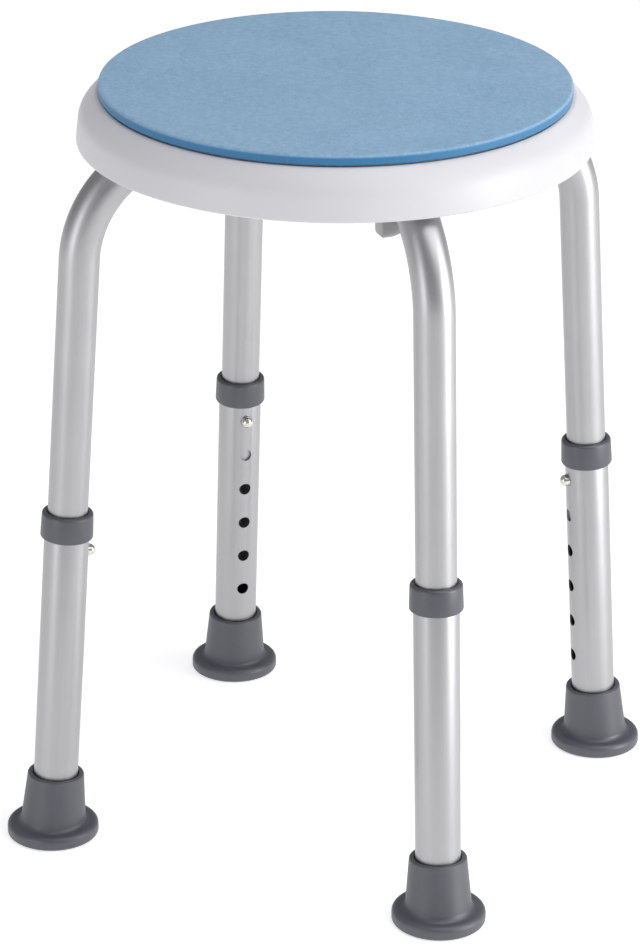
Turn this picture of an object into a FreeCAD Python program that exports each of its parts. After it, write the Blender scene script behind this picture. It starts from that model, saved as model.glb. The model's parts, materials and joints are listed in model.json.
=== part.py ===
import FreeCAD, Part
import math
import os

# Round swivel stool with four height-adjustable legs. Millimetres, +Z up, origin on the floor
# under the middle of the seat. Legs stand on the diagonals, so the seat faces -Y.

V = FreeCAD.Vector

# ---- driving dimensions ----
seat_height = 482.0            # floor to the top of the pad, legs fully out
seat_radius = 158.5            # outside of the base shell at the bottom of its skirt
leg_splay = 3.6                # degrees that each leg leans outwards
leg_azimuths = {"rear_right": 45.0, "rear_left": 135.0, "front_left": 225.0, "front_right": 315.0}

pad_thickness = 6.5
pad_margin = 14.0              # from the shell's edge in to the pad's edge
pad_edge_round = 1.2
disc_thickness = 5.0
disc_edge_round = 1.0
pad_overhang = 4.6             # pad beyond the turntable disc
floor_thickness = 3.0          # recess floor of the base shell
shell_wall = 3.0
skirt_height = 29.5
skirt_draft = 2.0              # the skirt is this much narrower where its shoulder starts
rim_shoulder = 10.5             # slope at 45 degrees between the skirt and the rim's flat top
rim_round = 16.0               # rounding between the skirt and the shoulder
rim_top_round = 4.0
recess_depth = 5.5
recess_edge_round = 2.0
skirt_edge_round = 1.2

tube_radius = 12.5             # upper tube, outside
tube_wall = 1.2
bend_radius = 71.0             # centre line of the bend under the seat
lower_tube_wall = 1.4
tube_end_station = 10.0        # lower end of the lower tube, measured along the leg from the floor
lowest_hole_station = 67.0
hole_pitch = 25.4
hole_count = 6
upper_tube_below_button = 38.0

collar_above_hole = 10.5       # from the top hole's middle to the collar's lower edge
collar_length = 17.5
collar_lip = 4.0               # the collar's part above the end of the lower tube
collar_wall_low = 2.5
collar_wall_high = 2.0
collar_round_low = 1.4
collar_round_high = 1.9

foot_top_station = 42.0
foot_wall_top = 3.8
foot_wall_low = 6.2
foot_flange_radius = 29.0
foot_flange_height = 8.6
foot_flange_round = 3.4
foot_sole_round = 1.6
foot_flare = 3.0               # fillet between the foot's socket and its flange
foot_top_round = 1.3
sole_groove_radii = (9.0, 15.0, 21.0)
sole_groove_width = 2.0
sole_groove_depth = 1.2

button_radius = 3.85
button_stand_out = 5.0         # beyond the lower tube
spring_width = 8.0
spring_thickness = 0.8
spring_length = 43.0
spring_below_button = 6.0
spring_top_width = 6.0
spring_bend = 2.3

hub_core = 14.5                # between the ends of the tubes and a tube's radius from the axis
hub_socket = 23.0
hub_floor = 5.0                # under the tubes
hub_round = 4.0
flange_width = 16.0
flange_thickness = 4.0
boss_height = 8.0
boss_radius = 5.5

saddle_from_bend = 15.0        # outwards from the start of the bend
saddle_length = 12.0
saddle_cheek = 3.4
saddle_floor = 4.6
saddle_round = 10.0
saddle_wing = 12.5
saddle_screw_out = 6.0         # from the cheek to the screw's middle
lug_drop = 8.5
lug_flat = 6.0                 # level part of the lug's underside, from there it rises inwards
lug_across = 22.0
lug_round_outer = 2.2
lug_round_inner = 12.0
lug_round_ends = 4.0

screw_radius = 2.0
screw_head_radius = 4.0
screw_head_height = 2.6
screw_slot_width = 1.0
screw_slot_depth = 1.1
hub_screw_in = 8.0             # from the flange's edge to the screw's middle
tube_screw_in = 12.0           # from the end of the tube
tube_screw_reach = 6.0         # inside the tube's wall

bolt_radius = 4.0
bolt_head_radius = 11.0
bolt_head_height = 2.5
bolt_head_round = 1.0
bolt_end = 2.0                 # bolt beyond the nut
disc_boss_radius = 20.0
bush_wall = 2.0
bush_flange_radius = 9.0
bush_flange = 1.5
washer_radius = 10.0
washer_thickness = 1.6
nut_across_flats = 13.0
nut_height = 8.0

glide_thickness = 1.4
glide_width = 10.0
glide_inset = 13.0             # from the disc's edge in to the ring

rib_thickness = 2.0
rib_count_per_quarter = 3
rib_step = 22.5                # degrees

# ---- clearances ----
telescope_clearance = 0.10     # radial, upper tube in lower tube and collar
button_hole_clearance = 0.15   # radial, button in the holes of both tubes
pivot_clearance = 0.05         # radial, bolt in bush
boss_clearance = 0.30          # radial, disc boss in the shell
disc_clearance = 2.0           # radial, disc in the recess
glide_gap = 0.10
thrust_gap = 0.10
tube_under_floor = 1.5         # between the tubes and the recess floor
rib_clear = 1.2                # between ribs and tubes or saddles
skirt_tube_gap = 7.9           # between the skirt's inside and the tubes, at the skirt's lower edge
fit_clearance = 0.05           # radial, tubes in hub and saddles, screws in holes
head_recess = 0.3              # bolt head below the disc's top

# ---- derived heights ----
disc_top = seat_height - pad_thickness
disc_bottom = disc_top - disc_thickness
floor_top = disc_bottom - glide_thickness - glide_gap
floor_bottom = floor_top - floor_thickness
rim_top = floor_top + recess_depth
skirt_bottom = rim_top - skirt_height
run_height = floor_bottom - tube_under_floor - tube_radius
hub_bottom = run_height - tube_radius - hub_floor
boss_bottom = floor_bottom - boss_height
flange_bottom = boss_bottom - flange_thickness

# ---- derived radii ----
pad_radius = seat_radius - pad_margin
disc_radius = pad_radius - pad_overhang
recess_radius = disc_radius + disc_clearance
skirt_inside = seat_radius - shell_wall
bush_radius = bolt_radius + pivot_clearance + bush_wall
run_end = tube_radius + hub_core
hub_radius = run_end + hub_socket
flange_radius = hub_radius + flange_width
lower_bore = tube_radius + telescope_clearance
lower_radius = lower_bore + lower_tube_wall
hole_radius = button_radius + button_hole_clearance

# ---- derived leg geometry ----
lean = math.radians(leg_splay)
bend_height = run_height - bend_radius
bend_reach = math.sqrt((bend_radius + tube_radius) ** 2 - (skirt_bottom - bend_height) ** 2)
bend_middle = skirt_inside - skirt_tube_gap - bend_reach
bend_station = (bend_height + bend_radius * math.sin(lean)) / math.cos(lean)
foot_circle = bend_middle + bend_radius * math.cos(lean) + bend_station * math.sin(lean)
button_station = lowest_hole_station + hole_pitch * (hole_count - 1)
upper_end_station = button_station - upper_tube_below_button
collar_bottom = button_station + collar_above_hole
collar_top = collar_bottom + collar_length
lower_top_station = collar_top - collar_lip
saddle_inner = bend_middle + saddle_from_bend
saddle_outer = saddle_inner + saddle_length
saddle_half = tube_radius + fit_clearance + saddle_cheek
saddle_screw_across = saddle_half + saddle_screw_out
saddle_bottom = (bend_height + math.sqrt(bend_radius ** 2 - (saddle_outer - bend_middle) ** 2)
                 - tube_radius - saddle_floor)
rib_ring_radius = math.hypot(saddle_outer, saddle_half) + rib_clear + rib_thickness

point_tolerance = 1e-6         # points closer than this are one point


# ---- shapes ----
def outline(corners):
    """Closed wire in the XZ plane through corners given as (x, z, rounding radius)."""
    points = [V(x, 0, z) for x, z, radius in corners]
    stretches = []
    for i, (x, z, radius) in enumerate(corners):
        corner = points[i]
        back = (points[i - 1] - corner).normalize()
        ahead = (points[(i + 1) % len(points)] - corner).normalize()
        half = back.getAngle(ahead) / 2
        inset = radius / math.tan(half) if radius else 0.0
        middle = corner
        if radius:
            middle = corner + (back + ahead).normalize() * (radius / math.sin(half) - radius)
        stretches.append((corner + back * inset, middle, corner + ahead * inset, radius))
    edges = []
    for i, (start, middle, end, radius) in enumerate(stretches):
        following = stretches[(i + 1) % len(stretches)][0]
        if radius:
            edges.append(Part.Arc(start, middle, end).toShape())
        if (following - end).Length > point_tolerance:
            edges.append(Part.LineSegment(end, following).toShape())
    return Part.Wire(edges)


def turned(corners):
    """Solid of revolution about Z of an outline with x as its radius."""
    return Part.Face(outline(corners)).revolve(V(0, 0, 0), V(0, 0, 1), 360)


def ring(inner, outer, bottom, height):
    """Plain ring or disc about Z."""
    disc = Part.makeCylinder(outer, height, V(0, 0, bottom))
    if inner:
        disc = disc.cut(Part.makeCylinder(inner, height, V(0, 0, bottom)))
    return disc


def slab(corners, depth, start):
    """XZ outline made solid along Y from start, over depth."""
    return Part.Face(outline(corners)).extrude(V(0, depth, 0)).translate(V(0, start, 0))


def strip(points, thickness, width):
    """Bent strip: points are (x, z, bend radius) on one face, the thickness lies to their right."""
    flat = [V(x, 0, z) for x, z, radius in points]
    far = []
    for i, point in enumerate(flat):
        before = flat[i] - flat[i - 1] if i else flat[1] - flat[0]
        after = flat[i + 1] - flat[i] if i + 1 < len(flat) else before
        sides = [V(d.z, 0, -d.x).normalize() for d in (before, after)]
        mitre = (sides[0] + sides[1]).normalize()
        far.append(point + mitre * (thickness / mitre.dot(sides[0])))
    corners = [(x, z, radius + thickness if radius else 0.0) for x, z, radius in points]
    corners += [(p.x, p.z, points[i][2]) for i, p in reversed(list(enumerate(far)))]
    return slab(corners, width, -width / 2)


def on_leg(shape):
    """Move a shape from a leg's own frame (Z along the leg from the floor, X outwards)."""
    placed = shape.copy()
    placed.rotate(V(0, 0, 0), V(0, 1, 0), -leg_splay)
    return placed.translate(V(foot_circle, 0, 0))


def around(shape, azimuth):
    """Turn a copy of a shape about the stool's middle."""
    turned_copy = shape.copy()
    turned_copy.rotate(V(0, 0, 0), V(0, 0, 1), azimuth)
    return turned_copy


def bent_rod(radius, from_station, to_radius):
    """Round bar along the upper tube's centre line, in the leg's plane."""
    straight = Part.makeCylinder(radius, bend_station - from_station, V(0, 0, from_station))
    disc = Part.Face(Part.Wire(Part.makeCircle(radius, V(0, 0, bend_station), V(0, 0, 1))))
    bend = disc.revolve(V(-bend_radius, 0, bend_station), V(0, -1, 0), 90 - leg_splay)
    run = Part.makeCylinder(radius, bend_middle - to_radius, V(bend_middle, 0, run_height), V(-1, 0, 0))
    return on_leg(straight).multiFuse([on_leg(bend), run])


def screw(top, reach):
    """Screw driven upwards, its head's seat at z = top, with a cross recess in the head."""
    head = turned([(0, top, 0), (screw_head_radius, top, 0),
                   (screw_head_radius, top - screw_head_height, screw_head_height / 2),
                   (0, top - screw_head_height, 0)])
    shank = Part.makeCylinder(screw_radius, reach, V(0, 0, top))
    slot = Part.makeBox(screw_head_radius, screw_slot_width, screw_slot_depth,
                        V(-screw_head_radius / 2, -screw_slot_width / 2, top - screw_head_height))
    return head.fuse(shank).cut(slot).cut(around(slot, 90))


# ---- legs ----
def upper_tube():
    """Inner telescoping tube: straight leg, bend, and the run to the hub."""
    tube = bent_rod(tube_radius, upper_end_station, run_end)
    bore = bent_rod(tube_radius - tube_wall, upper_end_station - 1, run_end - 1)
    button_hole = Part.makeCylinder(hole_radius, 2 * tube_radius, V(0, 0, button_station), V(-1, 0, 0))
    screw_hole = Part.makeCylinder(screw_radius + fit_clearance, tube_radius,
                                   V(run_end + tube_screw_in, 0, run_height), V(0, 0, -1))
    return tube.cut(bore).cut(on_leg(button_hole)).cut(screw_hole)


def lower_tube():
    """Outer telescoping tube with the row of adjusting holes facing the stool's middle."""
    length = lower_top_station - tube_end_station
    tube = ring(lower_bore, lower_radius, tube_end_station, length)
    for i in range(hole_count):
        tube = tube.cut(Part.makeCylinder(hole_radius, 2 * lower_radius,
                                          V(0, 0, lowest_hole_station + i * hole_pitch), V(-1, 0, 0)))
    return on_leg(tube)


def collar():
    """Moulded guide collar on the top end of the lower tube."""
    low = lower_radius + collar_wall_low
    high = lower_radius + collar_wall_high
    return on_leg(turned([
        (lower_radius, collar_bottom, 0), (low, collar_bottom, collar_round_low),
        (high, collar_top, collar_round_high), (lower_bore, collar_top, 0),
        (lower_bore, lower_top_station, 0), (lower_radius, lower_top_station, 0)]))


def foot():
    """Rubber tip: socket along the leg, flange flat on the floor."""
    socket = on_leg(turned([
        (0, foot_flange_height / 2, 0), (lower_radius + foot_wall_low, foot_flange_height / 2, 0),
        (lower_radius + foot_wall_top, foot_top_station, foot_top_round), (0, foot_top_station, 0)]))
    flange = turned([
        (0, 0, 0), (foot_flange_radius, 0, foot_sole_round),
        (foot_flange_radius, foot_flange_height, foot_flange_round), (0, foot_flange_height, 0)])
    flange.translate(V(foot_circle, 0, 0))
    tip = flange.fuse(socket)
    corner = [edge for edge in tip.Edges
              if abs(edge.BoundBox.ZMin - foot_flange_height) < 0.01 and abs(edge.BoundBox.ZLength) < 0.01
              and edge.BoundBox.XLength < 2 * (lower_radius + foot_wall_low + 1)]
    tip = tip.makeFillet(foot_flare, corner)
    bore = Part.makeCylinder(lower_radius, foot_top_station, V(0, 0, tube_end_station))
    tip = tip.cut(on_leg(bore))
    for radius in sole_groove_radii:
        groove = ring(radius, radius + sole_groove_width, 0, sole_groove_depth)
        tip = tip.cut(groove.translate(V(foot_circle, 0, 0)))
    return tip


def button_seat():
    """Distance from the leg's middle to the outer face of the leaf spring behind the button."""
    return math.sqrt((tube_radius - tube_wall) ** 2 - (spring_width / 2) ** 2) - 2 * telescope_clearance


def snap_button():
    """Domed locking button, facing the stool's middle."""
    tip = lower_radius + button_stand_out
    seat = button_seat()
    pin = turned([(0, seat, 0), (button_radius, seat, 0), (button_radius, tip - button_radius, 0),
                  (button_radius, tip, button_radius - 0.01), (0, tip, 0)])
    pin.rotate(V(0, 0, 0), V(0, 1, 0), -90)
    return on_leg(pin.translate(V(0, 0, button_station)))


def button_spring():
    """Hairpin leaf spring inside the upper tube that pushes the button out."""
    seat = button_seat()
    bottom = button_station - spring_below_button
    top = bottom + spring_length
    return on_leg(strip([(-seat, bottom, 0), (-seat, top, spring_bend),
                         (-seat + spring_top_width, top, spring_bend),
                         (seat, bottom + spring_below_button / 2, 0)], spring_thickness, spring_width))


def tube_saddle():
    """Moulded cradle that holds the bend up against the base shell, with a lug on one side."""
    half = saddle_half
    low = saddle_bottom
    lug_low = low - lug_drop
    cradle = outline([
        (-half, floor_bottom, 0), (-half, lug_low, lug_round_outer),
        (-half + lug_flat, lug_low, lug_round_inner), (-half + lug_across, low, 0),
        (half, low, saddle_round), (half, floor_bottom, 0)])
    wings = outline([
        (-half - saddle_wing, flange_bottom, 0), (half + saddle_wing, flange_bottom, 0),
        (half + saddle_wing, boss_bottom, 0), (-half - saddle_wing, boss_bottom, 0)])
    ends = slab([(0, floor_bottom, 0), (0, lug_low, lug_round_ends),
                 (saddle_length, lug_low, lug_round_ends), (saddle_length, floor_bottom, 0)], 2 * half, -half)
    ends.rotate(V(0, 0, 0), V(0, 0, 1), 90)
    body = Part.Face(cradle).extrude(V(0, saddle_length, 0)).common(ends)
    body = body.fuse(Part.Face(wings).extrude(V(0, saddle_length, 0)))
    body.rotate(V(0, 0, 0), V(0, 0, 1), 90)
    body.translate(V(saddle_outer, 0, 0))
    channel = bent_rod(tube_radius + fit_clearance, bend_station - saddle_length, run_end)
    slot_half = tube_radius + fit_clearance
    slot_low = bend_height + math.sqrt(bend_radius ** 2 - (saddle_inner - bend_middle) ** 2)
    slot = Part.makeBox(saddle_length, 2 * slot_half, floor_bottom - slot_low + 1,
                        V(saddle_inner, -slot_half, slot_low - 1))
    body = body.cut(channel).cut(slot)
    for side in (-1, 1):
        body = body.cut(Part.makeCylinder(screw_radius + fit_clearance, flange_thickness,
                                          V((saddle_inner + saddle_outer) / 2,
                                            side * saddle_screw_across, flange_bottom)))
    return body


# ---- screws ----
def placed_screws(in_leg_plane, azimuths):
    """One group of separate screws, from screws placed in a leg's plane."""
    return Part.makeCompound([around(one, azimuth) for azimuth in azimuths for one in in_leg_plane])


def saddle_screws():
    """Two screws through each saddle's wings."""
    pair = [screw(flange_bottom, flange_thickness + boss_height - 1).translate(
        V((saddle_inner + saddle_outer) / 2, side * saddle_screw_across, 0)) for side in (-1, 1)]
    return placed_screws(pair, leg_azimuths.values())


def hub_screws():
    """Screws through the hub's flange, between the tubes."""
    one = screw(flange_bottom, flange_thickness + boss_height - 1)
    one.translate(V(flange_radius - hub_screw_in, 0, 0))
    return placed_screws([one], [azimuth - 45 for azimuth in leg_azimuths.values()])


def tube_screws():
    """Screws from below through the hub into each tube."""
    one = screw(hub_bottom, hub_floor + tube_wall + tube_screw_reach)
    one.translate(V(run_end + tube_screw_in, 0, 0))
    return placed_screws([one], leg_azimuths.values())


# ---- hub and pivot ----
def frame_hub():
    """Round hub with four sockets for the tubes, a flange and the pivot's bore."""
    body = turned([
        (bush_radius, hub_bottom, 0), (hub_radius, hub_bottom, hub_round),
        (hub_radius, flange_bottom, 0), (flange_radius, flange_bottom, 0),
        (flange_radius, boss_bottom, 0), (hub_radius, boss_bottom, 0),
        (hub_radius, floor_bottom, 0), (bush_radius, floor_bottom, 0)])
    for azimuth in leg_azimuths.values():
        socket = Part.makeCylinder(tube_radius + fit_clearance, flange_radius,
                                   V(run_end, 0, run_height), V(1, 0, 0))
        tube_hole = Part.makeCylinder(screw_radius + fit_clearance, hub_floor + tube_radius,
                                      V(run_end + tube_screw_in, 0, hub_bottom))
        flange_hole = Part.makeCylinder(screw_radius + fit_clearance, flange_thickness,
                                        V(flange_radius - hub_screw_in, 0, flange_bottom))
        body = body.cut(around(socket, azimuth)).cut(around(tube_hole, azimuth))
        body = body.cut(around(flange_hole, azimuth - 45))
    return body


def pivot_bush():
    """Flanged plain bush in the hub."""
    bore = bolt_radius + pivot_clearance
    return turned([
        (bore, hub_bottom - bush_flange, 0), (bush_flange_radius, hub_bottom - bush_flange, 0),
        (bush_flange_radius, hub_bottom, 0), (bush_radius, hub_bottom, 0),
        (bush_radius, floor_bottom, 0), (bore, floor_bottom, 0)])


def washer_top():
    return hub_bottom - bush_flange - thrust_gap


def pivot_bolt():
    """Low-headed bolt that holds the turntable down, head sunk in the disc."""
    head_top = disc_top - head_recess
    head_seat = head_top - bolt_head_height
    tip = washer_top() - washer_thickness - nut_height - bolt_end
    return turned([
        (0, tip, 0), (bolt_radius, tip, bolt_end / 2), (bolt_radius, head_seat, 0),
        (bolt_head_radius, head_seat, 0), (bolt_head_radius, head_top, bolt_head_round), (0, head_top, 0)])


def pivot_washer():
    return ring(bolt_radius, washer_radius, washer_top() - washer_thickness, washer_thickness)


def pivot_nut():
    """Hexagonal lock nut under the washer."""
    top = washer_top() - washer_thickness
    corner_radius = nut_across_flats / math.sqrt(3)
    corners = [V(corner_radius * math.cos(math.radians(60 * i)),
                 corner_radius * math.sin(math.radians(60 * i)), top - nut_height) for i in range(7)]
    hexagon = Part.Face(Part.makePolygon(corners)).extrude(V(0, 0, nut_height))
    return hexagon.cut(Part.makeCylinder(bolt_radius, nut_height, V(0, 0, top - nut_height)))


# ---- seat ----
def turntable_disc():
    """Turning disc under the pad, with a boss that turns in the base shell."""
    head_seat = disc_top - head_recess - bolt_head_height
    boss_low = floor_bottom + 2 * glide_gap
    sunk = bolt_head_radius + boss_clearance
    return turned([
        (bolt_radius, boss_low, 0), (disc_boss_radius, boss_low, 0), (disc_boss_radius, disc_bottom, 0),
        (disc_radius, disc_bottom, disc_edge_round), (disc_radius, disc_top, disc_edge_round),
        (sunk, disc_top, 0), (sunk, head_seat, 0), (bolt_radius, head_seat, 0)])


def seat_pad():
    """Foam pad on the turning disc."""
    return turned([
        (0, disc_top, 0), (pad_radius, disc_top, pad_edge_round),
        (pad_radius, seat_height, pad_edge_round), (0, seat_height, 0)])


def glide_ring():
    """Low-friction ring on the recess floor that carries the turning disc."""
    outer = disc_radius - glide_inset
    return ring(outer - glide_width, outer, floor_top, glide_thickness)


def boss_places():
    """Where the screw bosses stand under the recess floor."""
    middle = (saddle_inner + saddle_outer) / 2
    for azimuth in leg_azimuths.values():
        for side in (-1, 1):
            yield around(Part.Vertex(middle, side * saddle_screw_across, 0), azimuth).Point
        yield around(Part.Vertex(flange_radius - hub_screw_in, 0, 0), azimuth - 45).Point


def seat_base():
    """Moulded base shell: rim, skirt and recess floor, ribbed and bossed underneath."""
    top_radius = seat_radius - skirt_draft
    shoulder = rim_top - rim_shoulder
    recess_outside = recess_radius + shell_wall
    under_shoulder = shoulder - shell_wall * math.tan(math.radians(22.5))
    under_rim = under_shoulder + top_radius - shell_wall - recess_outside
    shell = turned([
        (seat_radius, skirt_bottom, skirt_edge_round), (top_radius, shoulder, rim_round),
        (top_radius - rim_shoulder, rim_top, rim_top_round),
        (recess_radius, rim_top, recess_edge_round), (recess_radius, floor_top, 0),
        (disc_boss_radius + boss_clearance, floor_top, 0),
        (disc_boss_radius + boss_clearance, floor_bottom, 0), (recess_outside, floor_bottom, 0),
        (recess_outside, under_rim, 0),
        (top_radius - shell_wall, under_shoulder, rim_round - shell_wall),
        (skirt_inside, skirt_bottom, skirt_edge_round)])
    rib_from = flange_radius + rib_clear
    rib = Part.makeBox(rib_ring_radius - rib_from, rib_thickness, boss_height,
                       V(rib_from, -rib_thickness / 2, boss_bottom))
    stiffening = [ring(rib_ring_radius - rib_thickness, rib_ring_radius, boss_bottom, boss_height)]
    for quarter in range(4):
        for i in range(rib_count_per_quarter):
            stiffening.append(around(rib, 90 * quarter + rib_step * (i - 1)))
    stiffening += [Part.makeCylinder(boss_radius, boss_height, V(p.x, p.y, boss_bottom))
                   for p in boss_places()]
    shell = shell.multiFuse(stiffening)
    for azimuth in leg_azimuths.values():
        shell = shell.cut(around(bent_rod(tube_radius + rib_clear, bend_station, flange_radius), azimuth))
    for p in boss_places():
        shell = shell.cut(Part.makeCylinder(screw_radius + fit_clearance, boss_height,
                                            V(p.x, p.y, boss_bottom)))
    return shell


# ---- every node ----
nodes = {
    "seat_base": seat_base(), "turntable_disc": turntable_disc(), "seat_pad": seat_pad(),
    "glide_ring": glide_ring(), "frame_hub": frame_hub(), "pivot_bush": pivot_bush(),
    "pivot_bolt": pivot_bolt(), "pivot_washer": pivot_washer(), "pivot_nut": pivot_nut(),
    "saddle_screws": saddle_screws(), "hub_screws": hub_screws(), "tube_screws": tube_screws(),
}
leg_pieces = {
    "upper_tube": upper_tube(), "lower_tube": lower_tube(), "collar": collar(), "foot": foot(),
    "snap_button": snap_button(), "button_spring": button_spring(), "tube_saddle": tube_saddle(),
}
for leg, azimuth in leg_azimuths.items():
    for piece, shape in leg_pieces.items():
        nodes[f"{leg}_{piece}"] = around(shape, azimuth)

os.makedirs("parts", exist_ok=True)
for name, shape in nodes.items():
    if not shape.isValid():
        raise ValueError(f"{name} is not a valid shape")
    shape.exportStep(f"parts/{name}.step")
    print(f"{name}: {len(shape.Solids)} solid(s), {shape.Volume / 1000:.2f} cm3")
print(f"leg circle {foot_circle:.2f}, bend from station {bend_station:.2f}, run at {run_height:.2f}")
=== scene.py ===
import json
import math
import bmesh
import bpy
from mathutils import Matrix, Quaternion, Vector


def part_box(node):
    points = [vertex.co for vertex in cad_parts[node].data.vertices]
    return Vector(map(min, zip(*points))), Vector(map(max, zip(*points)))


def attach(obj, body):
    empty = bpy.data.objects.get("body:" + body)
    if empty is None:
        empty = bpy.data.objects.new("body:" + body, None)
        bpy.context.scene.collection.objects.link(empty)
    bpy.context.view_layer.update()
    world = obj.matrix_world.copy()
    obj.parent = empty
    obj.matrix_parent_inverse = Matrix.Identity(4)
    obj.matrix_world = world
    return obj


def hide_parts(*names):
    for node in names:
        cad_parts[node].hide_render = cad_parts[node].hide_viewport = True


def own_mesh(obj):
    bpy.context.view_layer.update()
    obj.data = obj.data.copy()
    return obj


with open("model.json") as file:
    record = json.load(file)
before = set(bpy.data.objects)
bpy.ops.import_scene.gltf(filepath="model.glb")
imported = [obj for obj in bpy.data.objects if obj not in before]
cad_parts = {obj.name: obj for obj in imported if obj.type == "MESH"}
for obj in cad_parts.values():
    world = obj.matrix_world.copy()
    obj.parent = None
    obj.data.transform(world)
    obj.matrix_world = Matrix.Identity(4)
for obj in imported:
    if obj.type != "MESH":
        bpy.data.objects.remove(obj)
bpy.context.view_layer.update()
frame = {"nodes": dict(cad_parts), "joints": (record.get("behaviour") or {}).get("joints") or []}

# ---- Studio ----
# A wide pale floor under even white light, brightest from the right, and a long lens that
# looks down a little from the front right. Nothing here belongs to the stool.
VIEW_TURN = 24.27              # degrees round from the front
VIEW_RISE = 23.16
VIEW_ROLL = 0.43
VIEW_DISTANCE = 2.5636
VIEW_AIM = Vector((-0.0033, -0.0015, 0.2247))
LENS = 153.37
SHIFT = (-0.0073, -0.0081)
LIGHTS_AIM = 0.25              # height that every light faces
FLOOR_SIZE = 40.0
FLOOR_GAP = 0.0005             # how far the floor lies under the soles


def toward(turn, rise):
    """Unit vector from the stool to a place at that turn from the front and that rise."""
    a, e = math.radians(turn), math.radians(rise)
    return Vector((math.sin(a) * math.cos(e), -math.cos(a) * math.cos(e), math.sin(e)))


lens = bpy.data.cameras.new("view")
lens.lens = LENS
lens.shift_x, lens.shift_y = SHIFT
camera = bpy.data.objects.new("view", lens)
bpy.context.scene.collection.objects.link(camera)
camera.location = VIEW_AIM + toward(VIEW_TURN, VIEW_RISE) * VIEW_DISTANCE
camera.rotation_mode = "QUATERNION"
camera.rotation_quaternion = (-toward(VIEW_TURN, VIEW_RISE)).to_track_quat("-Z", "Y") @ Quaternion(
    (0, 0, 1), math.radians(VIEW_ROLL))
bpy.context.scene.camera = camera
bpy.context.scene.view_settings.view_transform = "Standard"


def soft_box(name, turn, rise, distance, size, power):
    """Rectangular soft light that faces the stool; turn is counted from the camera."""
    data = bpy.data.lights.new(name, "AREA")
    data.shape = "RECTANGLE"
    data.size, data.size_y = size
    data.energy = power
    light = bpy.data.objects.new(name, data)
    bpy.context.scene.collection.objects.link(light)
    aim = Vector((0, 0, LIGHTS_AIM))
    light.location = aim + toward(VIEW_TURN + turn, rise) * distance
    light.rotation_mode = "QUATERNION"
    light.rotation_quaternion = (aim - light.location).to_track_quat("-Z", "Y")
    return light


soft_box("right_box", 76, 14, 2.2, (1.3, 2.0), 22)
soft_box("left_box", -55, 14, 2.6, (1.2, 2.0), 6.5)
soft_box("top_box", 62, 64, 2.0, (2.0, 2.0), 21)
soft_box("right_strip", 66, 7, 1.9, (0.45, 0.9), 12).visible_diffuse = False
soft_box("left_strip", -46, 7, 1.9, (0.35, 0.9), 3).visible_diffuse = False

world = bpy.data.worlds.new("studio")
world.use_nodes = True
sky = world.node_tree.nodes["Background"]
sky.inputs["Color"].default_value = (0.95, 0.97, 1.0, 1.0)
sky.inputs["Strength"].default_value = 0.35
bpy.context.scene.world = world

floor_mesh = bpy.data.meshes.new("floor")
half = FLOOR_SIZE / 2
floor_mesh.from_pydata([(-half, -half, 0), (half, -half, 0), (half, half, 0), (-half, half, 0)], [],
                       [(0, 1, 2, 3)])
floor = bpy.data.objects.new("floor", floor_mesh)
floor.location.z = -FLOOR_GAP
bpy.context.scene.collection.objects.link(floor)
pale = bpy.data.materials.new("pale_floor")
pale.use_nodes = True
pale_shader = pale.node_tree.nodes["Principled BSDF"]
pale_shader.inputs["Base Color"].default_value = (0.75, 0.75, 0.75, 1.0)
pale_shader.inputs["Roughness"].default_value = 0.9
pale_shader.inputs["Specular IOR Level"].default_value = 0.1
pale_shader.inputs["Emission Color"].default_value = (1.0, 1.0, 1.0, 1.0)
pale_shader.inputs["Emission Strength"].default_value = 0.64
floor_mesh.materials.append(pale)

# ---- Rubber feet ----
# Each foot is one moulding of grey rubber: a thick cup that is pushed on to the lower tube along
# the leg's lean, and a round flange that stands flat on the floor, with a grooved sole.
LEGS = ("rear_right", "rear_left", "front_left", "front_right")
FOOT_FLANGE = 0.0290
FOOT_FLANGE_TOP = 0.0086
FLANGE_FALL = 0.0003           # dip of the flange where it meets the cup
FOOT_CUP_LOW = 0.0207
FOOT_CUP_TOP = 0.0178
FOOT_RIM = 0.0420              # along the leg
TUBE_FOOT = 0.0100             # lower end of the lower tube, along the leg
LOWER_TUBE = 0.0140
CUP_MOUTH = 0.0008             # how much wider the cup is at its rim than the tube
SOLE_GROOVES = (0.009, 0.015, 0.021)
GROOVE_WIDTH = 0.0020
GROOVE_DEPTH = 0.0012
GROOVE_SLOPE = 0.0002
GROOVE_ROUND = 0.0003
SOLE_ROUND = 0.0016
FLANGE_ROUND = 0.0034
CUP_FOOT_ROUND = 0.0030
CUP_RIM_ROUND = 0.0014
CUP_MOUTH_ROUND = 0.0008
CUP_MOUTH_DEPTH = 0.0040
LEAN_OVER = FOOT_FLANGE_TOP / 2    # height above the flange in which the moulding takes up the lean
ROUND_STEPS = 6
ROUND_SEGMENTS = 96
SMOOTH_ANGLE = math.radians(38)
SAME_POINT = 1e-6

joints = {joint["name"]: joint for joint in frame["joints"]}


def leg_place(leg):
    """Matrix from a leg's own frame (Z up the leg from the floor, X outwards) to the stool's."""
    up = Vector(joints[f"{leg}_height"]["axis"]).normalized()
    out = Vector(joints[f"{leg}_button_press"]["axis"]).normalized()
    low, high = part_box(f"{leg}_foot")
    place = Matrix((out, up.cross(out), up)).transposed().to_4x4()
    place.translation = ((low.x + high.x) / 2, (low.y + high.y) / 2, 0)
    return place


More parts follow.
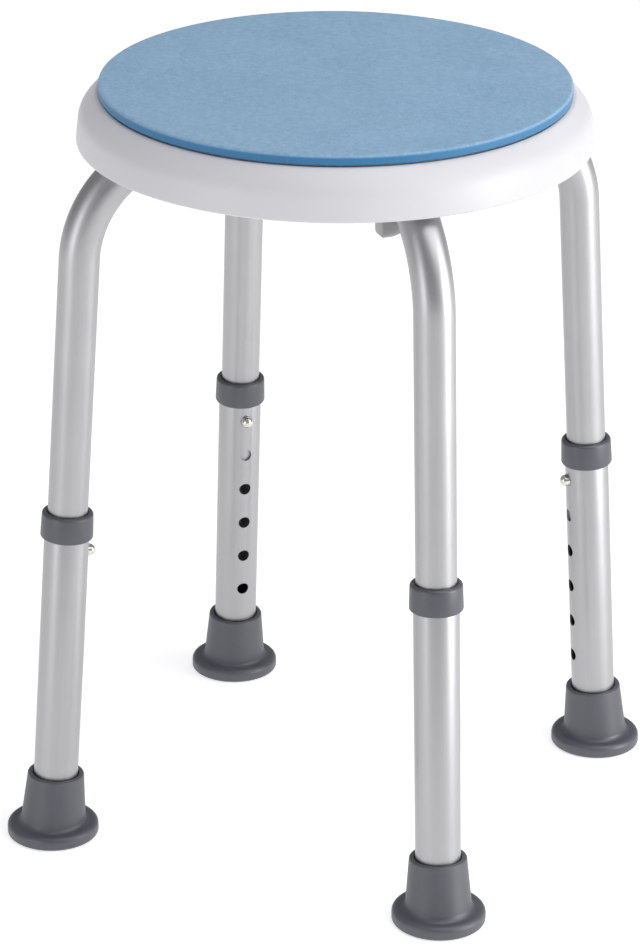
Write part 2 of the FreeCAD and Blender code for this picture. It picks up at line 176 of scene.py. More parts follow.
def contour(corners, steps=ROUND_STEPS):
    """Outline through (radius, height, rounding) corners, with the roundings as short arcs."""
    points = []
    count = len(corners)
    for i, (r, z, rounding) in enumerate(corners):
        here = Vector((r, z))
        if not rounding:
            points.append(here)
            continue
        back = (Vector(corners[i - 1][:2]) - here).normalized()
        ahead = (Vector(corners[(i + 1) % count][:2]) - here).normalized()
        half_angle = back.angle(ahead) / 2
        inset = rounding / math.tan(half_angle)
        centre = here + (back + ahead).normalized() * (rounding / math.sin(half_angle))
        first, last = here + back * inset - centre, here + ahead * inset - centre
        sweep = first.angle_signed(last)
        for step in range(steps + 1):
            points.append(centre + first @ Matrix.Rotation(sweep * step / steps, 2))
    return points


def piece_from(mesh_builder, name, finish):
    """Object from a bmesh: doubles merged, faces turned outwards, smooth apart from hard corners."""
    bmesh.ops.remove_doubles(mesh_builder, verts=mesh_builder.verts, dist=SAME_POINT)
    bmesh.ops.recalc_face_normals(mesh_builder, faces=mesh_builder.faces)
    mesh = bpy.data.meshes.new(name)
    mesh_builder.to_mesh(mesh)
    mesh_builder.free()
    mesh.shade_smooth()
    mesh.set_sharp_from_angle(angle=SMOOTH_ANGLE)
    mesh.materials.append(finish)
    piece = bpy.data.objects.new(name, mesh)
    bpy.context.scene.collection.objects.link(piece)
    return piece


def turned(points, segments, closed, place=None):
    """Bmesh turned about Z from (radius, height) points; closed joins the last to the first. Where
    place is given, it moves each point of the turned surface."""
    bm = bmesh.new()
    rings = []
    for r, z in points:
        if r < SAME_POINT:
            rings.append([bm.verts.new((0, 0, z))])
            continue
        ring = []
        for i in range(segments):
            a = 2 * math.pi * i / segments
            ring.append(bm.verts.new((r * math.cos(a), r * math.sin(a), z)))
        rings.append(ring)
    pairs = list(zip(rings, rings[1:]))
    if closed:
        pairs.append((rings[-1], rings[0]))
    for low, high in pairs:
        for i in range(segments):
            j = (i + 1) % segments
            corners = [low[i % len(low)], low[j % len(low)], high[j % len(high)], high[i % len(high)]]
            corners = list(dict.fromkeys(corners))
            if len(corners) > 2:
                bm.faces.new(corners)
    if place:
        for vert in bm.verts:
            vert.co = place(vert.co)
    return bm


class Wire:
    """A socket in a finish's node tree, so that shader maths reads as ordinary arithmetic."""

    def __init__(self, finish, socket):
        self.finish = finish
        self.socket = socket

    def join(self, operation, other, swapped=False):
        pair = (other, self) if swapped else (self, other)
        return self.finish.node("ShaderNodeMath", {"operation": operation}, {0: pair[0], 1: pair[1]})

    def __add__(self, other):
        return self.join("ADD", other)

    def __radd__(self, other):
        return self.join("ADD", other, True)

    def __rsub__(self, other):
        return self.join("SUBTRACT", other, True)

    def __mul__(self, other):
        return self.join("MULTIPLY", other)


class Finish:
    """A material: one Principled shader, its constants set on its own sockets."""

    def __init__(self, name, colour, **constants):
        self.material = bpy.data.materials.new(name)
        self.material.use_nodes = True
        self.tree = self.material.node_tree
        self.shader = self.tree.nodes["Principled BSDF"]
        self.shader.inputs["Base Color"].default_value = (*colour, 1.0)
        for socket, value in constants.items():
            self.shader.inputs[socket.replace("_", " ")].default_value = value

    def node(self, kind, settings=None, sockets=None, output=0):
        """Adds a node of a type with its settings and socket values or links; returns an output."""
        made = self.tree.nodes.new(kind)
        for setting, value in (settings or {}).items():
            if setting == "stops":
                ramp = made.color_ramp.elements
                for element, (position, tone) in zip((ramp[0], ramp[1]), value):
                    element.position = position
                    element.color = (tone, tone, tone, 1)
            else:
                setattr(made, setting, value)
        for socket, value in (sockets or {}).items():
            if isinstance(value, Wire):
                self.tree.links.new(value.socket, made.inputs[socket])
            else:
                made.inputs[socket].default_value = value
        return Wire(self, made.outputs[output])

    def feed(self, socket, wire):
        self.tree.links.new(wire.socket, self.shader.inputs[socket])

    def place(self):
        return self.node("ShaderNodeTexCoord", output="Object")

    def noise(self, at, scale, detail=2.0, roughness=0.5):
        return self.node("ShaderNodeTexNoise", None,
                         {"Vector": at, "Scale": scale, "Detail": detail, "Roughness": roughness})

    def ramp(self, wire, low, high):
        return self.node("ShaderNodeValToRGB", {"stops": ((low, 0.0), (high, 1.0))}, {"Fac": wire})

    def blend(self, amount, first, second):
        """Colour between two colours or colour wires."""
        made = self.node("ShaderNodeMix", {"data_type": "RGBA"}, {"Factor": amount}, output=2)
        inputs = [s for s in made.socket.node.inputs if s.type == "RGBA"]
        for socket, value in zip(inputs, (first, second)):
            if isinstance(value, Wire):
                self.tree.links.new(value.socket, socket)
            else:
                socket.default_value = (*value, 1.0)
        return made

    def bump(self, height, strength, distance):
        self.feed("Normal", self.node("ShaderNodeBump", None,
                                      {"Height": height, "Strength": strength, "Distance": distance}))


RUBBER_GREY = (0.060, 0.063, 0.081)
RUBBER_WORN = (0.098, 0.102, 0.124)


def rubber_finish():
    """Grey moulded rubber: matt, with a fine spark-eroded grain and faint lighter handling marks."""
    rubber = Finish("grey_rubber_moulding", RUBBER_GREY, Specular_IOR_Level=0.90, Sheen_Weight=0.10)
    place = rubber.place()
    cloud = rubber.ramp(rubber.noise(place, 34, 4.0, 0.6), 0.35, 0.75)
    grain = rubber.noise(place, 1500, 2.0, 0.7)
    rubber.feed("Base Color", rubber.blend(cloud * 0.45, RUBBER_GREY, RUBBER_WORN))
    rubber.feed("Roughness", 0.44 + cloud * 0.12)
    rubber.bump(grain, 0.22, 0.0003)
    return rubber.material


rubber = rubber_finish()
for leg in LEGS:
    leaning = leg_place(leg)
    outwards = Vector((*leaning.col[0].xy, 0)).normalized()
    upright = Matrix.Translation(leaning.translation) @ Vector((1, 0, 0)).rotation_difference(
        outwards).to_matrix().to_4x4()

    def settle(point):
        """Up to the flange's top the moulding is upright; above it, it takes up the leg's lean."""
        follow = min(max((point.z - FOOT_FLANGE_TOP) / LEAN_OVER, 0.0), 1.0)
        return (upright @ point).lerp(leaning @ point, follow)

    sole = [(0, 0, 0)]
    for groove in SOLE_GROOVES:
        sole += [(groove, 0, GROOVE_ROUND), (groove + GROOVE_SLOPE, GROOVE_DEPTH, 0),
                 (groove + GROOVE_WIDTH - GROOVE_SLOPE, GROOVE_DEPTH, 0),
                 (groove + GROOVE_WIDTH, 0, GROOVE_ROUND)]
    outline = sole + [
        (FOOT_FLANGE, 0, SOLE_ROUND), (FOOT_FLANGE, FOOT_FLANGE_TOP, FLANGE_ROUND),
        (FOOT_CUP_LOW, FOOT_FLANGE_TOP - FLANGE_FALL, CUP_FOOT_ROUND),
        (FOOT_CUP_TOP, FOOT_RIM, CUP_RIM_ROUND), (LOWER_TUBE + CUP_MOUTH, FOOT_RIM, CUP_MOUTH_ROUND),
        (LOWER_TUBE, FOOT_RIM - CUP_MOUTH_DEPTH, 0), (LOWER_TUBE, TUBE_FOOT, 0), (0, TUBE_FOOT, 0)]
    foot = piece_from(turned(contour(outline), ROUND_SEGMENTS, False, settle), f"foot_{leg}", rubber)
    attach(foot, f"{leg}_leg")
    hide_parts(f"{leg}_foot")

# ---- Lower tubes ----
# Outer tube of each leg: 28 mm aluminium, satin anodised, with a row of round adjusting holes
# drilled through the wall that faces the stool's middle.
LOWER_BORE = 0.0126
LOWER_TOP = 0.2180             # along the leg
HOLE_FIRST = 0.0670
HOLE_PITCH = 0.0254
HOLE_COUNT = 6
HOLE_RADIUS = 0.0040
HOLE_SEGMENTS = 48
TUBE_LIP = 0.0004
LIP_STEPS = 3
TUBE_SEGMENTS = 128


def anodised_finish():
    """Satin anodised drawn tube: soft long streaks along the grain attribute, fine frosted grain."""
    tube = Finish("satin_anodised_tube", (0.50, 0.50, 0.51), Metallic=1.0)
    grain = tube.node("ShaderNodeAttribute", {"attribute_name": "grain"}, output="Vector")
    drawn = tube.node("ShaderNodeVectorMath", {"operation": "MULTIPLY"},
                      {0: grain, 1: (1.0, 1.0, 0.03)})
    streak = tube.noise(drawn, 420, 3.0, 0.6)
    cloud = tube.noise(grain, 26, 4.0, 0.55)
    frost = tube.noise(grain, 2400, 2.0, 0.6)
    tone = tube.ramp(cloud * 0.5 + streak * 0.5, 0.3, 0.7)
    tube.feed("Base Color", tube.blend(tone, (0.415, 0.412, 0.425), (0.462, 0.459, 0.472)))
    tube.feed("Roughness", 0.34 + streak * 0.06 + cloud * 0.06)
    tube.bump(frost * 0.6 + streak * 0.4, 0.10, 0.0002)
    return tube.material


class Growth:
    """A Geometry Nodes tree that is being built: named inputs, and a coat of one finish at its end."""

    def __init__(self, name, sizes):
        self.tree = bpy.data.node_groups.new(name, "GeometryNodeTree")
        face = self.tree.interface
        for label, kind in (("Geometry", "Geometry"), *sizes, ("Finish", "Material")):
            face.new_socket(label, in_out="INPUT", socket_type=f"NodeSocket{kind}")
        face.new_socket("Geometry", in_out="OUTPUT", socket_type="NodeSocketGeometry")
        self.given = self.tree.nodes.new("NodeGroupInput").outputs

    def node(self, kind, sockets, settings=None):
        """Adds a node of a type with its settings and socket values or links; returns its output."""
        made = self.tree.nodes.new(kind)
        for setting, value in (settings or {}).items():
            setattr(made, setting, value)
        for socket, value in sockets.items():
            if isinstance(value, bpy.types.NodeSocket):
                self.tree.links.new(value, made.inputs[socket])
            else:
                made.inputs[socket].default_value = value
        return made.outputs[0]

    def at(self, **coordinates):
        return self.node("ShaderNodeCombineXYZ", coordinates)

    def times(self, first, second):
        return self.node("ShaderNodeMath", {0: first, 1: second}, {"operation": "MULTIPLY"})

    def cut(self, body, tool):
        return self.node("GeometryNodeMeshBoolean", {"Mesh 1": body, "Mesh 2": tool},
                         {"operation": "DIFFERENCE"})

    def coated(self, geometry):
        coat = self.node("GeometryNodeSetMaterial", {
            "Geometry": geometry, "Material": self.given["Finish"]})
        self.tree.links.new(coat, self.tree.nodes.new("NodeGroupOutput").inputs["Geometry"])
        return self.tree


def hole_row_tree():
    """Drills a straight row of round holes through one wall of a tube, and keeps each point's
    place on the tube as the grain attribute."""
    grow = Growth("hole_row", (("Radius", "Float"), ("First", "Float"), ("Pitch", "Float"),
                               ("Count", "Int"), ("Reach", "Float")))
    given = grow.given
    row = grow.node("GeometryNodeMeshLine", {
        "Count": given["Count"], "Start Location": grow.at(Z=given["First"]),
        "Offset": grow.at(Z=given["Pitch"])})
    drill = grow.node("GeometryNodeMeshCylinder", {
        "Vertices": HOLE_SEGMENTS, "Radius": given["Radius"], "Depth": given["Reach"]})
    lying = grow.node("GeometryNodeTransform", {
        "Geometry": drill, "Translation": grow.at(X=grow.times(given["Reach"], -0.5)),
        "Rotation": (0, math.pi / 2, 0)})
    drills = grow.node("GeometryNodeInstanceOnPoints", {"Points": row, "Instance": lying})
    drilled = grow.cut(given["Geometry"], grow.node("GeometryNodeRealizeInstances", {"Geometry": drills}))
    return grow.coated(grow.node("GeometryNodeStoreNamedAttribute", {
        "Geometry": drilled, "Name": "grain", "Value": grow.node("GeometryNodeInputPosition", {})},
        {"data_type": "FLOAT_VECTOR"}))


def made_by(tree, base, values):
    """Plain mesh that a Geometry Nodes tree makes from a base object with named input values."""
    modifier = base.modifiers.new("maker", "NODES")
    modifier.node_group = tree
    sockets = {item.name: item.identifier for item in tree.interface.items_tree
               if item.item_type == "SOCKET" and item.in_out == "INPUT"}
    for name, value in values.items():
        modifier[sockets[name]] = value
    bpy.context.view_layer.update()
    evaluated = base.evaluated_get(bpy.context.evaluated_depsgraph_get())
    mesh = bpy.data.meshes.new_from_object(evaluated)
    base.modifiers.remove(modifier)
    return mesh


anodised = anodised_finish()
tube_outline = contour([
    (LOWER_TUBE, TUBE_FOOT, 0), (LOWER_TUBE, LOWER_TOP, TUBE_LIP),
    (LOWER_BORE, LOWER_TOP, TUBE_LIP), (LOWER_BORE, TUBE_FOOT, 0)], LIP_STEPS)
blank = piece_from(turned(tube_outline, TUBE_SEGMENTS, True), "tube_blank", anodised)
drilled = made_by(hole_row_tree(), blank, {
    "Radius": HOLE_RADIUS, "First": HOLE_FIRST, "Pitch": HOLE_PITCH, "Count": HOLE_COUNT,
    "Reach": 2 * LOWER_TUBE, "Finish": anodised})
bpy.data.objects.remove(blank)
for leg in LEGS:
    mesh = drilled.copy()
    mesh.transform(leg_place(leg))
    mesh.shade_smooth()
    mesh.set_sharp_from_angle(angle=SMOOTH_ANGLE)
    lower_tube = bpy.data.objects.new(f"lower_tube_{leg}", mesh)
    bpy.context.scene.collection.objects.link(lower_tube)
    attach(lower_tube, f"{leg}_leg")
    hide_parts(f"{leg}_lower_tube")

# ---- Collars ----
# Grey moulded guide rings, pressed over the top ends of the lower tubes. The upper tube slides
# through the rounded mouth on top.
COLLAR_LOW = 0.2045            # along the leg
COLLAR_TOP = 0.2220
COLLAR_OUT_LOW = 0.0165
COLLAR_OUT_TOP = 0.0160
COLLAR_INNER_ROUND = 0.0003
COLLAR_ROUND_LOW = 0.0014
COLLAR_ROUND_TOP = 0.0021
COLLAR_MOUTH = 0.0006          # how much wider the mouth is than the bore, and its rounding
COLLAR_MOUTH_FALL = 0.0004
COLLAR_MOUTH_DEPTH = 0.0014


def moulded_finish(name, dark, light):
    """Glass-filled plastic: satin, with a fine leather-like mould texture."""
    plastic = Finish(name, dark, Specular_IOR_Level=0.9)
    place = plastic.place()
    cloud = plastic.ramp(plastic.noise(place, 48, 3.0, 0.6), 0.35, 0.7)
    grain = plastic.noise(place, 1900, 2.0, 0.6)
    plastic.feed("Base Color", plastic.blend(cloud * 0.5, dark, light))
    plastic.feed("Roughness", 0.40 + cloud * 0.08)
    plastic.bump(grain, 0.14, 0.0002)
    return plastic.material


moulded = moulded_finish("grey_moulded_plastic", (0.059, 0.062, 0.080), (0.084, 0.087, 0.108))
collar_outline = contour([
    (LOWER_TUBE, COLLAR_LOW, COLLAR_INNER_ROUND), (COLLAR_OUT_LOW, COLLAR_LOW, COLLAR_ROUND_LOW),
    (COLLAR_OUT_TOP, COLLAR_TOP, COLLAR_ROUND_TOP),
    (LOWER_BORE + COLLAR_MOUTH, COLLAR_TOP - COLLAR_MOUTH_FALL, COLLAR_MOUTH),
    (LOWER_BORE, COLLAR_TOP - COLLAR_MOUTH_DEPTH, 0), (LOWER_BORE, LOWER_TOP, 0),
    (LOWER_TUBE, LOWER_TOP, 0)])
for leg in LEGS:
    bm = turned(collar_outline, ROUND_SEGMENTS, True)
    bm.transform(leg_place(leg))
    collar = piece_from(bm, f"collar_{leg}", moulded)
    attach(collar, f"{leg}_leg")
    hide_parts(f"{leg}_collar")

# ---- Upper tubes ----
# Inner tube of each leg: 25 mm aluminium, anodised as the lower one. It rises from inside the
# lower tube, bends inwards under the seat, and runs level into the hub.
TUBE_OUT = 0.0125
TUBE_IN = 0.0113
TUBE_START = 0.1560            # lower end, along the leg
BEND_RADIUS = 0.0710
RUN_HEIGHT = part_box("rear_right_upper_tube")[1].z - TUBE_OUT
BEND_STEPS = 40
BUTTON_AT = HOLE_FIRST + HOLE_PITCH * (HOLE_COUNT - 1)


def tube_path(lean, bend_from, run):
    """Centre points and directions of an upper tube in its leg's own frame, with the length so
    far: straight up to bend_from, round the bend, and level for the run."""
    path = [(Vector((0, 0, TUBE_START)), Vector((0, 0, 1)), TUBE_START)]
    turn = math.pi / 2 - lean
    for step in range(BEND_STEPS + 1):
        a = turn * step / BEND_STEPS
        centre = Vector((BEND_RADIUS * (math.cos(a) - 1), 0, bend_from + BEND_RADIUS * math.sin(a)))
        path.append((centre, Vector((-math.sin(a), 0, math.cos(a))), bend_from + BEND_RADIUS * a))
    last, ahead, length = path[-1]
    path.append((last + ahead * run, ahead, length + run))
    return path


def swept(path, radius_out, radius_in, segments):
    """Bmesh of a tube wall along a flat path; its grain layer unrolls the tube to a straight one."""
    bm = bmesh.new()
    grain = bm.verts.layers.float_vector.new("grain")
    walls = []
    for radius in (radius_out, radius_in):
        rings = []
        for centre, ahead, length in path:
            side = Vector((ahead.z, 0, -ahead.x))
            ring = []
            for i in range(segments):
                a = 2 * math.pi * i / segments
                across, aside = radius * math.cos(a), radius * math.sin(a)
                vert = bm.verts.new(centre + side * across + Vector((0, aside, 0)))
                vert[grain] = (across, aside, length)
                ring.append(vert)
            rings.append(ring)
        walls.append(rings)
    outer, inner = walls
    pairs = list(zip(outer, outer[1:])) + [(outer[-1], inner[-1])]
    pairs += list(zip(reversed(inner), list(reversed(inner))[1:])) + [(inner[0], outer[0])]
    for low, high in pairs:
        for i in range(segments):
            j = (i + 1) % segments
            bm.faces.new((low[i], low[j], high[j], high[i]))
    return bm


tube_corners = frame["nodes"]["rear_right_upper_tube"].data.vertices
run_end = min(Vector(corner.co[:2]).length for corner in tube_corners)
lean = math.acos(Vector(joints["rear_right_height"]["axis"]).normalized().z)
foot_circle = leg_place("rear_right").translation.length
bend_station = (RUN_HEIGHT - BEND_RADIUS + BEND_RADIUS * math.sin(lean)) / math.cos(lean)
bend_middle = foot_circle - bend_station * math.sin(lean) - BEND_RADIUS * math.cos(lean)
for leg in LEGS:
    bm = swept(tube_path(lean, bend_station, bend_middle - run_end), TUBE_OUT, TUBE_IN, ROUND_SEGMENTS)
    bm.transform(leg_place(leg))
    upper_tube = piece_from(bm, f"upper_tube_{leg}", anodised)
    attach(upper_tube, "frame")
    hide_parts(f"{leg}_upper_tube")

# ---- Snap buttons and their leaf springs ----
# Nickel-plated domed pins that stand out of the top hole and lock the leg. A hairpin of spring
# steel inside the upper tube pushes each one out.
PIN_RADIUS = 0.00385
PIN_TIP = 0.0190
PIN_SEAT = 0.0104
PIN_FOOT_ROUND = 0.0003
PIN_SEGMENTS = 40
DOME_STEPS = 12
EDGE_SOFTENING = 0.0006
SPRING_SOFTENING = 0.0002
FLAT_WITHIN = math.radians(0.5)
EDGE_FROM = math.radians(40)


def plated_finish():
    """Bright nickel plate with faint turning marks and a slightly uneven polish."""
    plate = Finish("nickel_plate", (0.70, 0.68, 0.64), Metallic=1.0)
    cloud = plate.noise(plate.place(), 700, 3.0, 0.6)
    plate.feed("Roughness", 0.10 + cloud * 0.16)
    plate.bump(plate.noise(plate.place(), 2600, 2.0, 0.5), 0.06, 0.0001)
    return plate.material


def spring_finish():
    """Blank spring steel, a little oiled, rolled marks along the strip."""
    steel = Finish("spring_strip", (0.42, 0.43, 0.45), Metallic=1.0)
    cloud = steel.noise(steel.place(), 260, 4.0, 0.6)
    steel.feed("Base Color", steel.blend(cloud, (0.36, 0.37, 0.39), (0.50, 0.50, 0.52)))
    steel.feed("Roughness", 0.28 + cloud * 0.2)
    return steel.material


def softened(node, name, finish, width=EDGE_SOFTENING, segments=2):
    """Piece with a node's shape, its flats made whole and its edges rounded a little."""
    bm = bmesh.new()
    bm.from_mesh(frame["nodes"][node].data)
    bmesh.ops.remove_doubles(bm, verts=bm.verts, dist=2 * SAME_POINT)
    bmesh.ops.dissolve_limit(bm, angle_limit=FLAT_WITHIN, verts=bm.verts, edges=bm.edges)
    piece = piece_from(bm, name, finish)
    bevel = piece.modifiers.new("edges", "BEVEL")
    bevel.width = width
    bevel.segments = segments
    bevel.limit_method = "ANGLE"
    bevel.angle_limit = EDGE_FROM
    bevel.use_clamp_overlap = True
    bpy.context.view_layer.update()
    mesh = bpy.data.meshes.new_from_object(piece.evaluated_get(bpy.context.evaluated_depsgraph_get()))
    piece.modifiers.clear()
    piece.data = mesh
    mesh.shade_smooth()
    mesh.set_sharp_from_angle(angle=SMOOTH_ANGLE)
    return piece


plated = plated_finish()
spring_steel = spring_finish()
pin_outline = contour([
    (0, PIN_SEAT, 0), (PIN_RADIUS, PIN_SEAT, PIN_FOOT_ROUND), (PIN_RADIUS, PIN_TIP - PIN_RADIUS, 0)],
    LIP_STEPS)
for step in range(1, DOME_STEPS + 1):
    a = math.pi / 2 * step / DOME_STEPS
    pin_outline.append(Vector((PIN_RADIUS * math.cos(a), PIN_TIP - PIN_RADIUS * (1 - math.sin(a)))))
lying = Matrix.Translation((0, 0, BUTTON_AT)) @ Matrix.Rotation(-math.pi / 2, 4, "Y")
for leg in LEGS:
    place = leg_place(leg)
    bm = turned(pin_outline, PIN_SEGMENTS, False)
    bm.transform(place @ lying)
    button = piece_from(bm, f"snap_button_{leg}", plated)
    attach(button, f"{leg}_button")
    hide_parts(f"{leg}_snap_button")
    spring = softened(f"{leg}_button_spring", f"leaf_spring_{leg}", spring_steel, SPRING_SOFTENING, 1)
    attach(spring, "frame")
    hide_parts(f"{leg}_button_spring")
    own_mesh(spring)

# ---- Hub and saddles ----
# The tubes meet in a grey moulded hub under the middle of the seat. Where they bend, a paler
# moulded saddle holds each one up against the shell. Both are screwed on from below.
hub = softened("frame_hub", "hub", moulded)
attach(hub, "frame")
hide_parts("frame_hub")
pale_moulded = moulded_finish("pale_moulded_plastic", (0.30, 0.30, 0.305), (0.37, 0.37, 0.375))
for leg in LEGS:
    saddle = softened(f"{leg}_tube_saddle", f"saddle_{leg}", pale_moulded)
    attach(saddle, "frame")
    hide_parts(f"{leg}_tube_saddle")

# ---- Base shell ----
# White moulded seat base: rounded rim, deep skirt, a shallow recess for the turning disc, and
# ribs and screw bosses under the recess floor, in plain satin plastic.
SHELL_WHITE = (0.715, 0.705, 0.735)
SHELL_SOFTENING = 0.0004
FLOW_SHADE = 0.965             # how much of the colour the flow marks keep


def white_finish(name, colour):
    """White moulded plastic: satin, with a faint mould grain and slight flow marks."""
    white = Finish(name, colour, Specular_IOR_Level=0.45)
    place = white.place()
    flow = white.noise(place, 9, 3.0, 0.5)
    grain = white.noise(place, 1300, 2.0, 0.6)
    shade = tuple(part * FLOW_SHADE for part in colour)
    white.feed("Base Color", white.blend(white.ramp(flow, 0.35, 0.7), shade, colour))
    white.feed("Roughness", 0.36 + flow * 0.12)
    white.bump(grain, 0.07, 0.0002)
    return white.material


shell_white = white_finish("white_shell_plastic", SHELL_WHITE)
shell = softened("seat_base", "base_shell", shell_white, SHELL_SOFTENING)
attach(shell, "frame")
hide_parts("seat_base")

# ---- Screws ----
# Zinc-plated pan-head screws with a cross recess hold the hub and the saddles up to the shell,
# and the tubes in the hub. All their heads face down.
SCREW_SHANK = 0.0020
SCREW_HEAD = 0.0040
SCREW_HEAD_HEIGHT = 0.0026
SCREW_POINT = 0.0012
SCREW_EDGE_ROUND = 0.0002
SCREW_SEGMENTS = 32
CROSS_WIDTH = 0.0010
CROSS_DEPTH = 0.0011
FLANGE_SCREW_REACH = 0.0110
TUBE_SCREW_REACH = 0.0122
SADDLE_SCREW_FROM_BEND = 0.0210


def zinc_finish():
    """Zinc plate: pale grey, faintly mottled, a soft shine."""
    zinc = Finish("zinc_plate", (0.62, 0.63, 0.65), Metallic=1.0)
    cloud = zinc.noise(zinc.place(), 420, 4.0, 0.65)
    zinc.feed("Base Color", zinc.blend(cloud, (0.52, 0.53, 0.56), (0.72, 0.72, 0.73)))
    zinc.feed("Roughness", 0.24 + cloud * 0.2)
    return zinc.material


def screw_ring_tree():
    """Sinks a cross into a screw's head, sets one or two such screws abreast, and repeats them
    round the stool."""
    grow = Growth("screw_ring", (("Out", "Float"), ("Aside", "Float"), ("Height", "Float"),
                                 ("Abreast", "Int"), ("Round", "Int"), ("Start", "Float"),
                                 ("Step", "Float")))
    given = grow.given
    screw = given["Geometry"]
    for length, width in ((SCREW_HEAD, CROSS_WIDTH), (CROSS_WIDTH, SCREW_HEAD)):
        bar = grow.node("GeometryNodeMeshCube", {"Size": (length, width, 2 * CROSS_DEPTH)})
        screw = grow.cut(screw, grow.node("GeometryNodeTransform", {
            "Geometry": bar, "Translation": (0, 0, -SCREW_HEAD_HEIGHT)}))
    pair = grow.node("GeometryNodeMeshLine", {
        "Count": given["Abreast"],
        "Start Location": grow.at(X=given["Out"], Y=given["Aside"], Z=given["Height"]),
        "Offset": grow.at(Y=grow.times(given["Aside"], -2.0))})
    together = grow.node("GeometryNodeInstanceOnPoints", {"Points": pair, "Instance": screw})
    turn = grow.node("ShaderNodeMath", {
        0: grow.times(grow.node("GeometryNodeInputIndex", {}), given["Step"]), 1: given["Start"]})
    middle = grow.node("GeometryNodeMeshLine", {"Count": given["Round"], "Offset": (0, 0, 0)})
    ring = grow.node("GeometryNodeInstanceOnPoints", {
        "Points": middle, "Instance": together, "Rotation": grow.at(Z=turn)})
    return grow.coated(grow.node("GeometryNodeRealizeInstances", {"Geometry": ring}))


zinc = zinc_finish()
screw_rings = screw_ring_tree()
saddle_screw_out = bend_middle + SADDLE_SCREW_FROM_BEND
furthest = {group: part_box(group)[1].x - SCREW_HEAD
            for group in ("saddle_screws", "hub_screws", "tube_screws")}
saddle_screw_aside = furthest["saddle_screws"] * math.sqrt(2) - saddle_screw_out
for group, out, aside, reach, start in (
        ("saddle_screws", saddle_screw_out, saddle_screw_aside, FLANGE_SCREW_REACH, math.pi / 4),
        ("hub_screws", furthest["hub_screws"], 0.0, FLANGE_SCREW_REACH, 0.0),
        ("tube_screws", furthest["tube_screws"] * math.sqrt(2), 0.0, TUBE_SCREW_REACH, math.pi / 4)):
    outline = contour([
        (0, -SCREW_HEAD_HEIGHT, 0), (SCREW_HEAD, -SCREW_HEAD_HEIGHT, SCREW_HEAD_HEIGHT / 2),
        (SCREW_HEAD, 0, SCREW_EDGE_ROUND), (SCREW_SHANK, 0, 0), (SCREW_SHANK, reach - SCREW_POINT, 0),
        (SCREW_SHANK - SCREW_POINT, reach, 0), (0, reach, 0)])
    blank = piece_from(turned(outline, SCREW_SEGMENTS, False), "screw_blank", zinc)
    mesh = made_by(screw_rings, blank, {
        "Out": out, "Aside": aside, "Height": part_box(group)[0].z + SCREW_HEAD_HEIGHT,
        "Abreast": 2 if aside else 1, "Round": len(LEGS), "Start": start,
        "Step": 2 * math.pi / len(LEGS), "Finish": zinc})
    bpy.data.objects.remove(blank)
    mesh.shade_smooth()
    mesh.set_sharp_from_angle(angle=SMOOTH_ANGLE)
    screws = bpy.data.objects.new(group.replace("screws", "screw_set"), mesh)
    bpy.context.scene.collection.objects.link(screws)
    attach(screws, "frame")
    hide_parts(group)

# ---- Swivel ----
# A white disc turns on a slippery ring in the shell's recess. A low-headed bolt holds it down
# through a flanged bush in the hub, with a washer and a lock nut below.
SWIVEL_SOFTENING = 0.0003


def acetal_finish():
    """Smooth off-white bearing plastic."""
    slick = Finish("bearing_plastic", (0.86, 0.86, 0.83), Specular_IOR_Level=0.5)
    cloud = slick.noise(slick.place(), 60, 3.0, 0.5)
    slick.feed("Roughness", 0.22 + cloud * 0.12)
    return slick.material


disc_white = white_finish("white_disc_plastic", (0.80, 0.80, 0.815))
acetal = acetal_finish()
for node, name, body, finish, slot in (
        ("glide_ring", "bearing_ring", "frame", acetal, "acetal"),
        ("pivot_bush", "bush", "frame", acetal, "acetal"),
        ("turntable_disc", "turning_disc", "turntable", disc_white, "white_disc"),
        ("pivot_bolt", "centre_bolt", "turntable", zinc, "zinc_steel"),
        ("pivot_washer", "washer", "turntable", zinc, "zinc_steel"),
        ("pivot_nut", "lock_nut", "turntable", zinc, "zinc_steel")):
    part = softened(node, name, finish, SWIVEL_SOFTENING)
    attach(part, body)
    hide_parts(node)

# ---- Seat pad ----
# A thick disc of closed-cell foam, stuck to the turning disc. Its embossed skin is a pale pebbled
# blue, partly its own paler colour and partly painted sheen, and its cut edge a deeper blue; the edge
# rolls over softly.
PAD_SEGMENTS = 256
PAD_RINGS = 60
PAD_ROLL = 0.0016
PAD_ROLL_LOW = 0.0006
PAD_ROLL_STEPS = 8
PAD_CROWN = 0.0003
PAD_WAVE = 0.00008
SKIN_AND_SHEEN_FROM = 0.0024             # below the top, where the skin's colour and its painted sheen begin
SKIN_AND_SHEEN_FULL = 0.0010


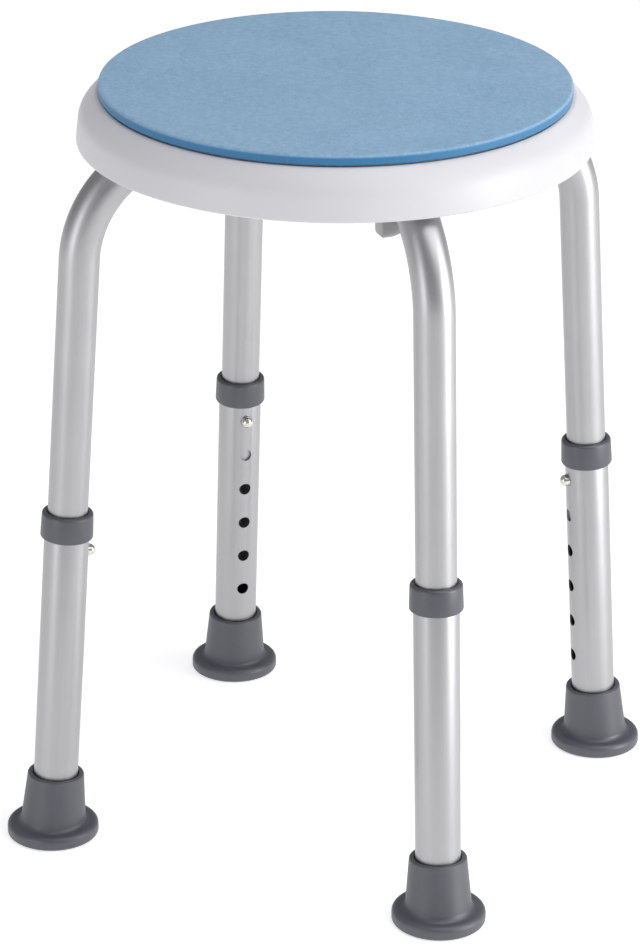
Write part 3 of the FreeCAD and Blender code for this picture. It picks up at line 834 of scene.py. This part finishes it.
def foam_finish(top):
    """Pebbled foam skin at the height of the top, plain cut foam below it on the edge. The skin's
    paler blue is partly its own colour and partly painted sheen.
    """
    foam = Finish("blue_foam_sheet", (0.20, 0.42, 0.60), Specular_IOR_Level=0.35, Sheen_Weight=0.15)
    place = foam.place()
    height = foam.node("ShaderNodeSeparateXYZ", None, {"Vector": place}, output="Z")
    # height mask for the top: the skin's own colour, together with painted sheen on the upward face
    skin_and_sheen = foam.node("ShaderNodeMapRange", None,
                     {"Value": height, "From Min": top - SKIN_AND_SHEEN_FROM, "From Max": top - SKIN_AND_SHEEN_FULL})
    pebble = foam.node("ShaderNodeTexVoronoi", {"feature": "SMOOTH_F1"},
                       {"Vector": place, "Scale": 640, "Smoothness": 0.5})
    fleck = foam.noise(place, 620, 3.0, 0.7)
    mottle = foam.noise(place, 210, 3.0, 0.6)
    cloud = foam.noise(place, 30, 4.0, 0.55)
    patch = foam.ramp(cloud * 0.2 + mottle * 0.4 + fleck * 0.4, 0.38, 0.62)
    # pale skin blue: partly the foam skin's own colour, partly painted sheen of the light on the pebbles
    pale = foam.blend(patch, (0.206, 0.380, 0.562), (0.318, 0.508, 0.708))
    foam.feed("Base Color", foam.blend(skin_and_sheen, (0.035, 0.200, 0.400), pale))
    foam.feed("Roughness", 0.46 + mottle * 0.16)
    foam.bump((1 - pebble) * 0.6 + fleck * 0.4, 0.42, 0.0006)
    return foam.material


pad_low, pad_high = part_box("seat_pad")
pad_radius = (pad_high.x - pad_low.x) / 2
top_rings = [(pad_radius * (1 - ring / PAD_RINGS), pad_high.z, 0) for ring in range(2, PAD_RINGS)]
pad_outline = contour([
    (0, pad_low.z, 0), (pad_radius, pad_low.z, PAD_ROLL_LOW), (pad_radius, pad_high.z, PAD_ROLL),
    *top_rings, (0, pad_high.z, 0)], PAD_ROLL_STEPS)


def slump(point):
    """The foam lies a hair low towards its edge and is not perfectly even on top."""
    share = (point.z - pad_low.z) / (pad_high.z - pad_low.z)
    reach = point.xy.length / pad_radius
    wave = math.sin(point.x * 61 + 1.3) * math.sin(point.y * 53 + 0.4)
    return point - Vector((0, 0, share * (PAD_CROWN * reach ** 4 + PAD_WAVE * (1 + wave))))


pad = piece_from(turned(pad_outline, PAD_SEGMENTS, False, slump), "seat_cushion", foam_finish(pad_high.z))
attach(pad, "turntable")
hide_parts("seat_pad")
